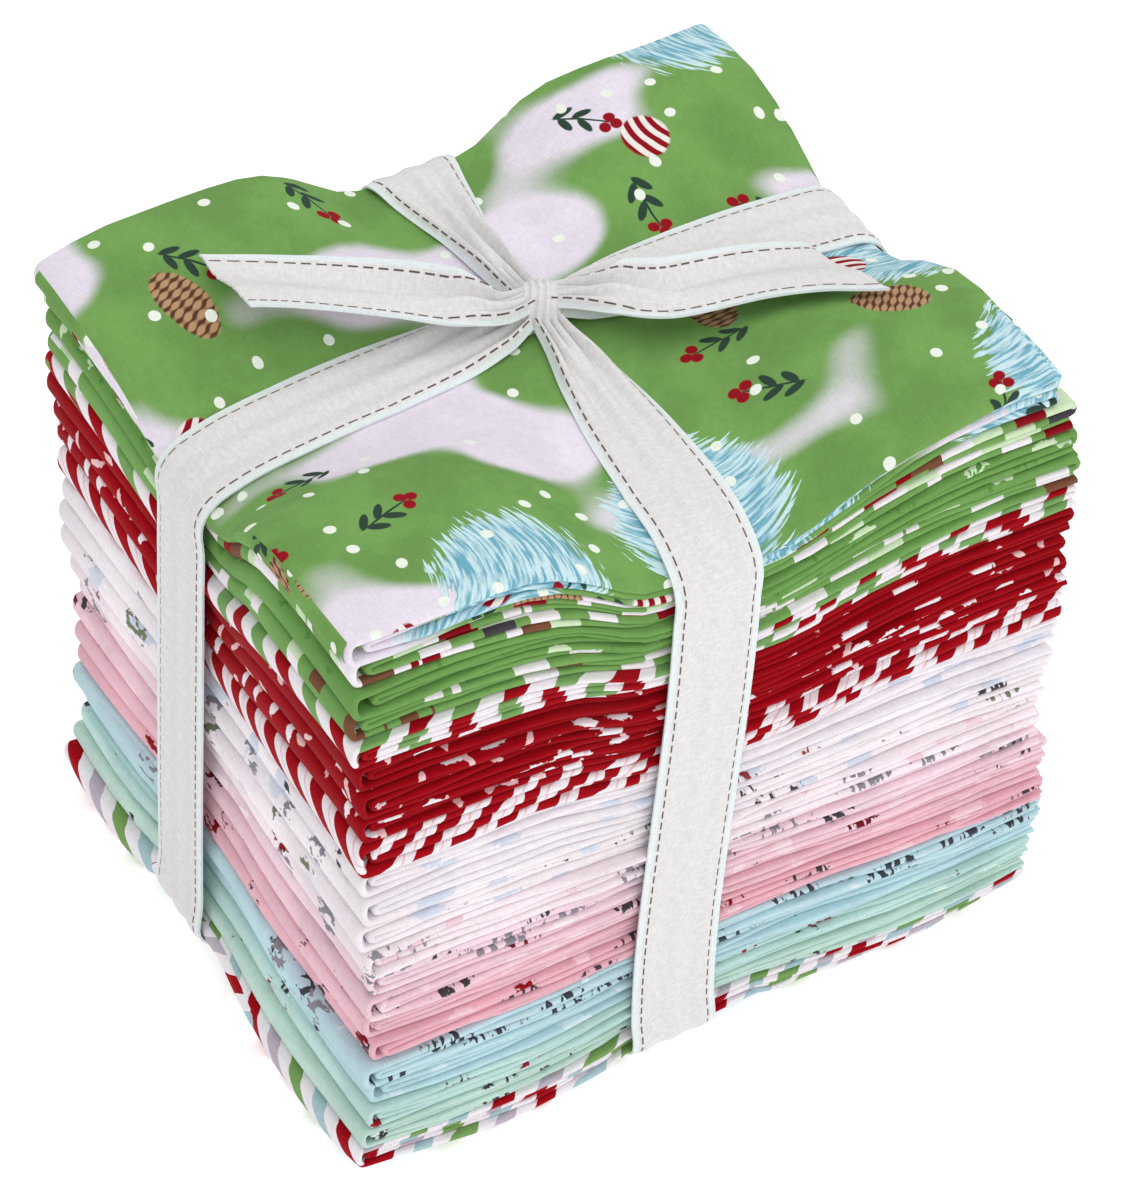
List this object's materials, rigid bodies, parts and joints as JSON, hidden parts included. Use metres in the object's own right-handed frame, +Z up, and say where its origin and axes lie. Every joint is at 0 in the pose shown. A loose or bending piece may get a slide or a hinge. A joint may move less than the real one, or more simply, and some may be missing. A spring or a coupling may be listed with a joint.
{
  "type": "fat quarter bundle",
  "caption": "Stack of folded cotton fat quarters in greens, reds, whites, pinks and pale blues, tied crosswise with one knotted ribbon with free tails.",
  "frame": {"origin": "middle of the bounding box's bottom face, on the surface the bundle rests on", "axes": "+X along the stack's long side, from the folds to the open ends, +Y from the front to the back, +Z up"},
  "size_m": [0.1478, 0.117, 0.1391],
  "materials": {
    "cotton_01_green_winter": "woven cotton with a pigment-printed winter design",
    "cotton_02_green_blocks": "matt woven quilting cotton, printed with small marks",
    "cotton_03_green_tonal": "matt woven quilting cotton, nearly plain",
    "cotton_04_green_dashes": "matt woven quilting cotton, printed with small marks",
    "cotton_05_holly_stripe": "woven cotton printed with red, green and white stripes",
    "cotton_06_red_pills": "matt woven quilting cotton, printed with small marks",
    "cotton_07_red_arcs": "matt woven quilting cotton, printed with small marks",
    "cotton_08_red_dots": "matt woven quilting cotton, printed with small marks",
    "cotton_09_candy_stripe": "woven cotton printed with red and white stripes",
    "cotton_10_white_script": "matt woven quilting cotton, printed with small marks",
    "cotton_11_white_marks": "matt woven quilting cotton, printed with small marks",
    "cotton_12_white_sprig": "matt woven quilting cotton, printed with small marks",
    "cotton_13_white_rose": "matt woven quilting cotton, printed with small marks",
    "cotton_14_pink_pale": "matt woven quilting cotton, printed with small marks",
    "cotton_15_pink_marks": "matt woven quilting cotton, printed with small marks",
    "cotton_16_pink_dusty": "matt woven quilting cotton, printed with small marks",
    "cotton_17_pink_salmon": "matt woven quilting cotton, printed with small marks",
    "cotton_18_aqua_marks": "matt woven quilting cotton, printed with small marks",
    "cotton_19_aqua_plain": "matt woven quilting cotton, nearly plain",
    "cotton_20_mint_figures": "matt woven quilting cotton, printed with small marks",
    "cotton_21_mint_plain": "matt woven quilting cotton, nearly plain",
    "cotton_22_block_stripe": "woven cotton printed with broad stripes",
    "ribbon_cotton": "matt cotton tape with stitched edges"
  },
  "bodies": {
    "root": {"fat_quarter_01_green_winter": "cotton_01_green_winter", "fat_quarter_02_green_blocks": "cotton_02_green_blocks", "fat_quarter_03_green_tonal": "cotton_03_green_tonal", "fat_quarter_04_green_dashes": "cotton_04_green_dashes", "fat_quarter_05_holly_stripe": "cotton_05_holly_stripe", "fat_quarter_06_red_pills": "cotton_06_red_pills", "fat_quarter_07_red_arcs": "cotton_07_red_arcs", "fat_quarter_08_red_dots": "cotton_08_red_dots", "fat_quarter_09_candy_stripe": "cotton_09_candy_stripe", "fat_quarter_10_white_script": "cotton_10_white_script", "fat_quarter_11_white_marks": "cotton_11_white_marks", "fat_quarter_12_white_sprig": "cotton_12_white_sprig", "fat_quarter_13_white_rose": "cotton_13_white_rose", "fat_quarter_14_pink_pale": "cotton_14_pink_pale", "fat_quarter_15_pink_marks": "cotton_15_pink_marks", "fat_quarter_16_pink_dusty": "cotton_16_pink_dusty", "fat_quarter_17_pink_salmon": "cotton_17_pink_salmon", "fat_quarter_18_aqua_marks": "cotton_18_aqua_marks", "fat_quarter_19_aqua_plain": "cotton_19_aqua_plain", "fat_quarter_20_mint_figures": "cotton_20_mint_figures", "fat_quarter_21_mint_plain": "cotton_21_mint_plain", "fat_quarter_22_block_stripe": "cotton_22_block_stripe", "ribbon_crossways": "ribbon_cotton", "ribbon_lengthways": "ribbon_cotton", "ribbon_knot": "ribbon_cotton", "ribbon_tail_left": "ribbon_cotton", "ribbon_tail_right": "ribbon_cotton"}
  },
  "joints": []
}
